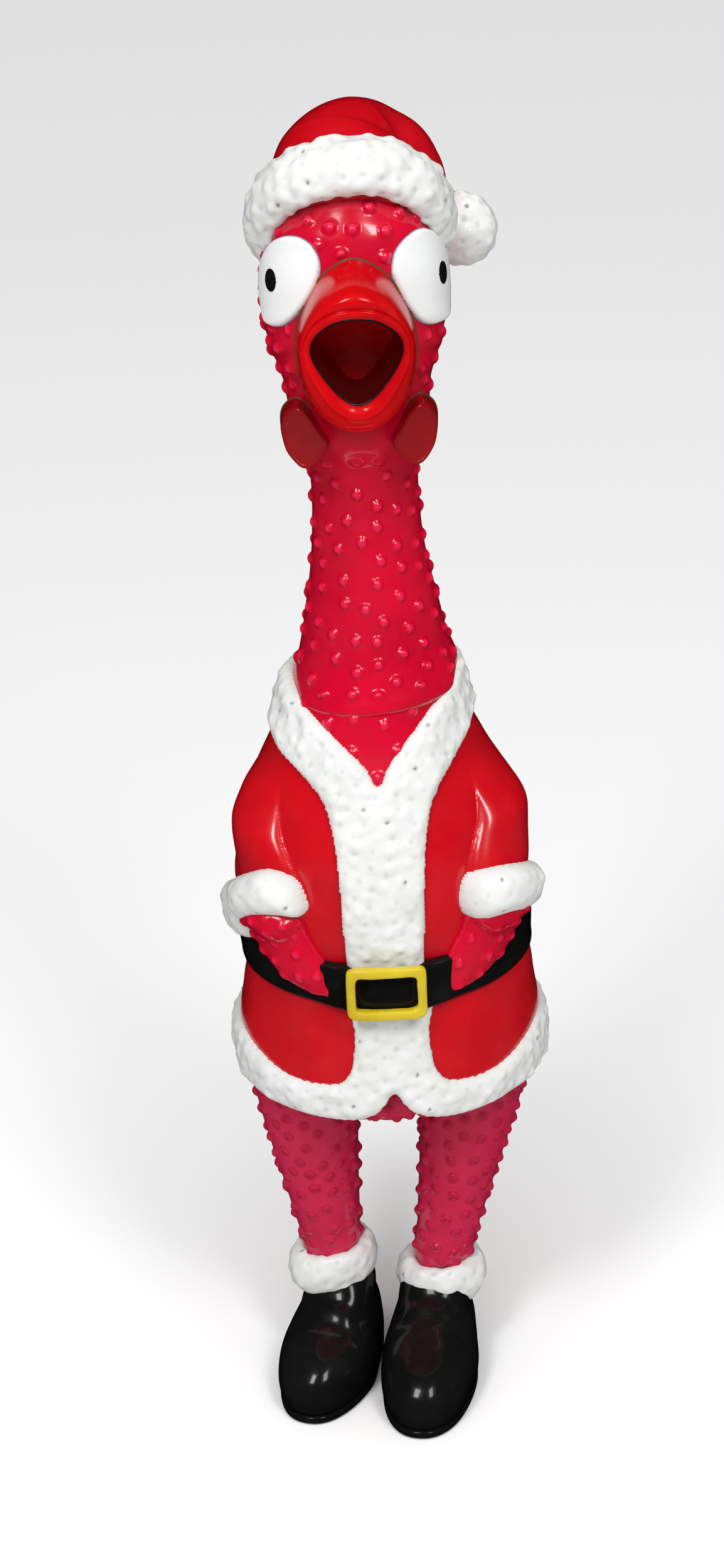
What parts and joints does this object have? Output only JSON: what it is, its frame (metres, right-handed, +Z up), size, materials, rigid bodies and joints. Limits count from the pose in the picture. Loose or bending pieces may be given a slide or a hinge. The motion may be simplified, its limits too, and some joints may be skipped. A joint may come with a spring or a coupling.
{
  "type": "rubber chicken",
  "caption": "Hollow squeeze toy shaped as a plucked chicken in a moulded winter suit: open beak, long bendy neck, belted round body, thin legs and boots.",
  "frame": {"origin": "on the floor under the middle of the toy, which stands on its two boot soles", "axes": "+Z up along the body, -Y the way the beak and toes point, +X to the right of a viewer in front"},
  "size_m": [0.1, 0.1, 0.4],
  "materials": {
    "coat_red": "gloss",
    "fur_white": "satin",
    "belt_black": "gloss",
    "buckle_gold": "satin",
    "skin_crimson": "gloss",
    "leg_crimson": "satin",
    "boot_black": "gloss",
    "beak_red": "gloss",
    "wattle_red": "satin",
    "mouth_dark": "satin",
    "eye_white": "gloss",
    "pupil_black": "gloss",
    "squeaker_plastic": "satin",
    "reed_film": "satin"
  },
  "bodies": {
    "torso": {"coat_shell": "coat_red", "pelvis": "leg_crimson", "chest_bib": "skin_crimson", "collar_trim": "fur_white", "hem_trim": "fur_white", "belt_back": "belt_black", "left_sleeve": "coat_red", "right_sleeve": "coat_red", "left_cuff": "fur_white", "right_cuff": "fur_white", "left_hand": "skin_crimson", "right_hand": "skin_crimson"},
    "belly": {"belly_panel": "coat_red", "front_placket": "fur_white", "belt_front": "belt_black", "buckle": "buckle_gold"},
    "neck_base": {"neck_lower": "skin_crimson"},
    "neck_top": {"neck_upper": "skin_crimson"},
    "head": {"head_shell": "skin_crimson", "beak": "beak_red", "mouth_lining": "mouth_dark", "left_eye": "eye_white", "right_eye": "eye_white", "left_pupil": "pupil_black", "right_pupil": "pupil_black", "left_wattle": "wattle_red", "right_wattle": "wattle_red", "hat_cap": "coat_red", "hat_brim": "fur_white", "hat_tail": "coat_red", "squeaker_barrel": "squeaker_plastic", "tone_board": "squeaker_plastic", "reed_wedge": "squeaker_plastic"},
    "pompom": {"pompom": "fur_white"},
    "reed": {"reed": "reed_film"},
    "left_leg": {"left_leg": "leg_crimson"},
    "right_leg": {"right_leg": "leg_crimson"},
    "left_foot": {"left_boot": "boot_black", "left_sole": "boot_black", "left_heel": "boot_black", "left_boot_cuff": "fur_white"},
    "right_foot": {"right_boot": "boot_black", "right_sole": "boot_black", "right_heel": "boot_black", "right_boot_cuff": "fur_white"}
  },
  "joints": [
    {"name": "belly_squeeze", "type": "slide", "parent": "torso", "child": "belly", "axis": [0, 1, 0], "range_m": [0, 0.012], "stiffness_N_per_m": 300},
    {"name": "neck_bend", "type": "hinge", "parent": "torso", "child": "neck_base", "pos_m": [0, 0, 0.236], "axis": [1, 0, 0], "range_deg": [-30, 30], "stiffness_Nm_per_rad": 1.2},
    {"name": "neck_sway", "type": "hinge", "parent": "neck_base", "child": "neck_top", "pos_m": [0, 0, 0.27], "axis": [0, 1, 0], "range_deg": [-20, 20], "stiffness_Nm_per_rad": 1},
    {"name": "head_nod", "type": "hinge", "parent": "neck_top", "child": "head", "pos_m": [0, 0, 0.309], "axis": [1, 0, 0], "range_deg": [-22, 22], "stiffness_Nm_per_rad": 0.8},
    {"name": "pompom_flop", "type": "hinge", "parent": "head", "child": "pompom", "pos_m": [0.025, 0.023, 0.371], "axis": [0.7071, -0.7071, 0], "range_deg": [-5, 45], "stiffness_Nm_per_rad": 0.1},
    {"name": "reed_flutter", "type": "hinge", "parent": "head", "child": "reed", "pos_m": [0, 0.00425, 0.3373], "axis": [1, 0, 0], "range_deg": [-1, 5], "stiffness_Nm_per_rad": 0.002},
    {"name": "left_leg_swing", "type": "hinge", "parent": "torso", "child": "left_leg", "pos_m": [-0.0255, 0, 0.104], "axis": [1, 0, 0], "range_deg": [-40, 40], "stiffness_Nm_per_rad": 8},
    {"name": "right_leg_swing", "type": "hinge", "parent": "torso", "child": "right_leg", "pos_m": [0.0255, 0, 0.104], "axis": [1, 0, 0], "range_deg": [-40, 40], "stiffness_Nm_per_rad": 8},
    {"name": "left_ankle_flex", "type": "hinge", "parent": "left_leg", "child": "left_foot", "pos_m": [-0.021, 0, 0.037], "axis": [1, 0, 0], "range_deg": [-20, 20], "stiffness_Nm_per_rad": 6},
    {"name": "right_ankle_flex", "type": "hinge", "parent": "right_leg", "child": "right_foot", "pos_m": [0.0155, 0, 0.037], "axis": [1, 0, 0], "range_deg": [-20, 20], "stiffness_Nm_per_rad": 6}
  ]
}
